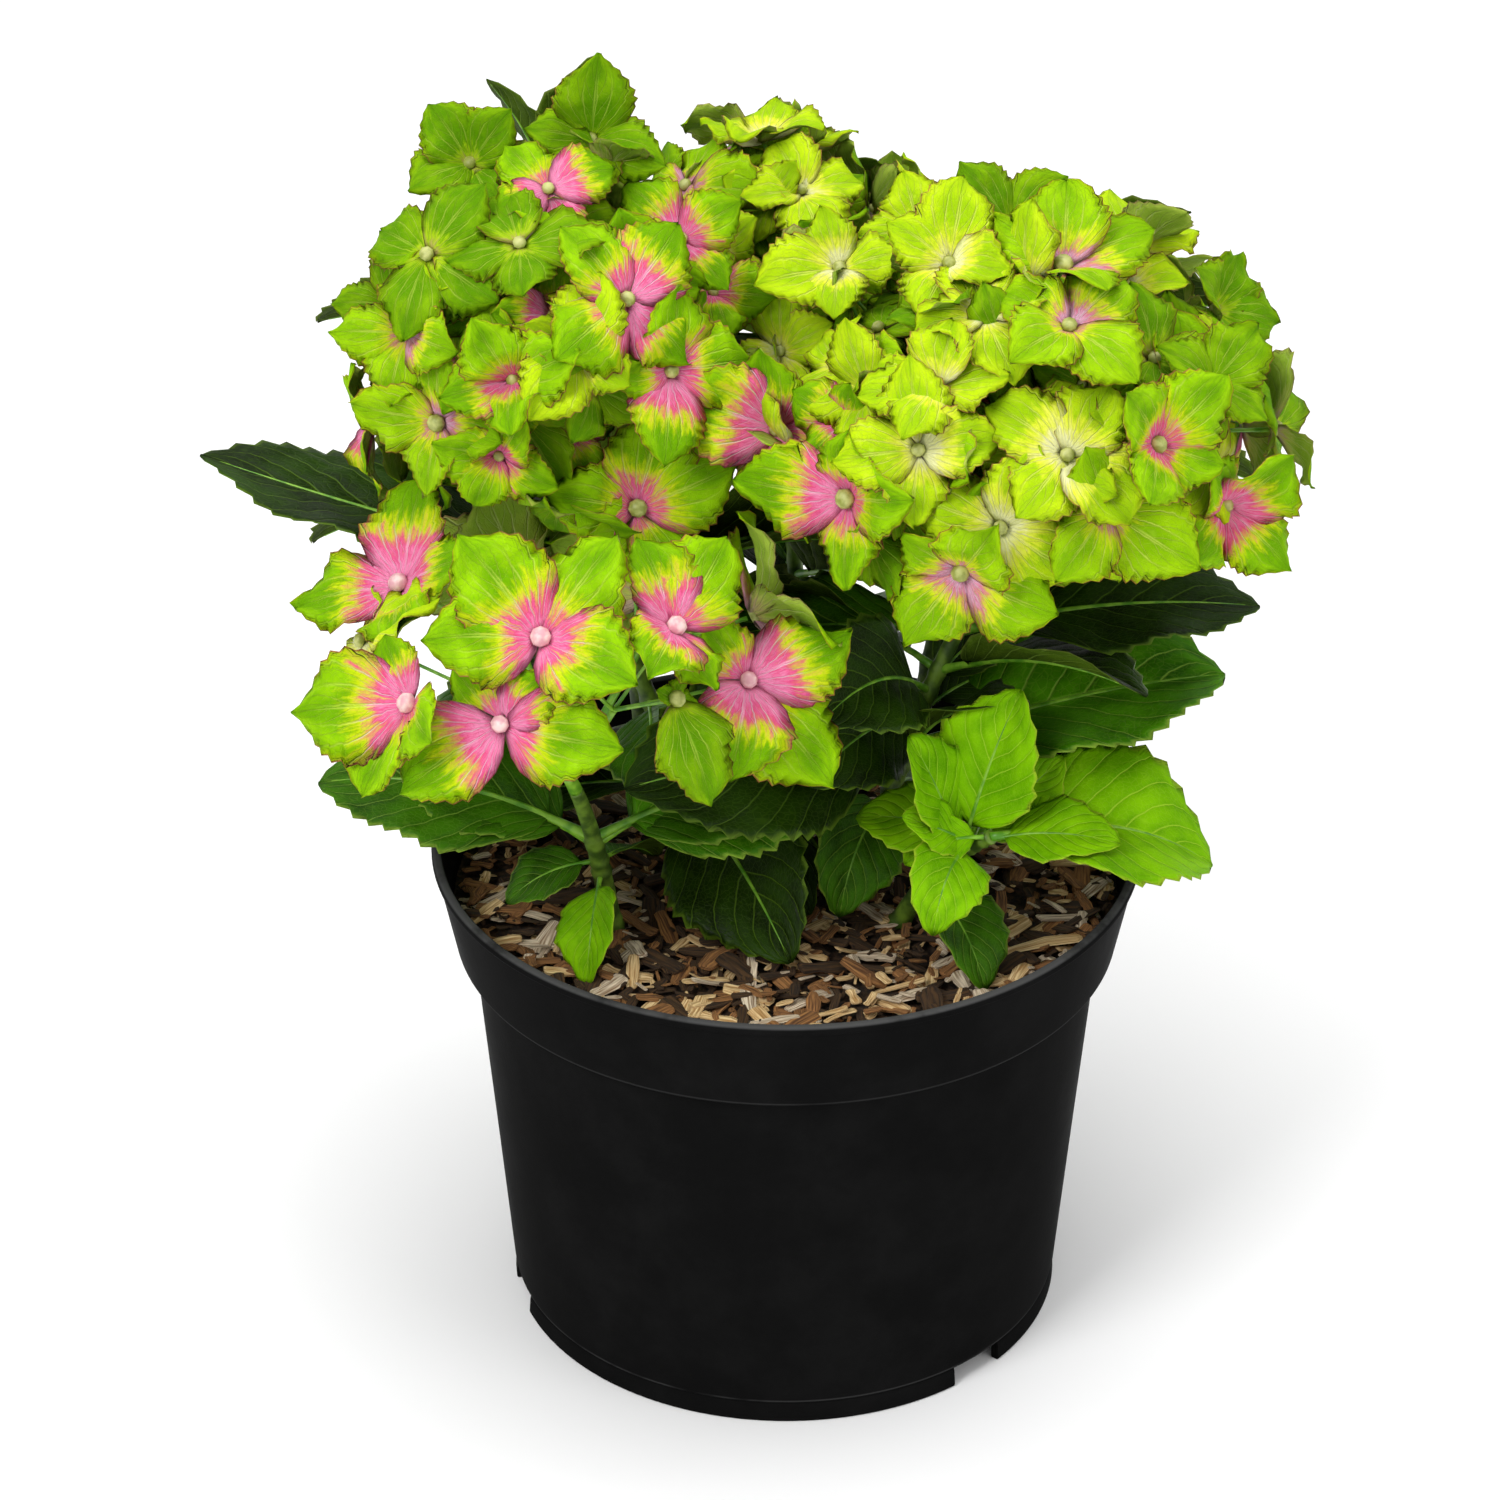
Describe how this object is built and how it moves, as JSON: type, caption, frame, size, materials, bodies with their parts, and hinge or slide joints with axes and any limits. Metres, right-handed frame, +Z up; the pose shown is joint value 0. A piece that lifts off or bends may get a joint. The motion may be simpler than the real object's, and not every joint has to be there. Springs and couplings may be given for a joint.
{
  "type": "potted hydrangea shrub",
  "caption": "Compact shrub with large domed flower heads over paired toothed leaves, growing in a tapered round plastic nursery pot.",
  "frame": {"origin": "middle of the pot's underside, on the surface that it stands on", "axes": "+Z up; -Y towards the side in the picture; +X to the right in the picture"},
  "size_m": [0.344, 0.2997, 0.4192],
  "materials": {
    "pot_plastic": "black moulded polypropylene, satin",
    "bark_mulch": "shredded bark over peat, rough",
    "green_cane": "smooth green bark",
    "leaf": "waxy, semi-gloss",
    "young_leaf": "waxy, semi-gloss",
    "sepal": "matte, veined"
  },
  "bodies": {
    "root": {"container": "pot_plastic", "growing_medium": "bark_mulch", "cane_front_left": "green_cane", "cane_left": "green_cane", "cane_right": "green_cane", "cane_back": "green_cane", "cane_low_right": "green_cane", "cane_back_left": "green_cane", "cane_back_right": "green_cane", "flower_head_front_left": "sepal", "flower_head_left": "sepal", "flower_head_right": "sepal", "flower_head_back": "sepal", "foliage_front_left": "leaf", "foliage_left": "leaf", "foliage_right": "leaf", "foliage_back": "leaf", "foliage_low_right": "young_leaf", "foliage_back_left": "leaf", "foliage_back_right": "leaf"}
  },
  "joints": []
}
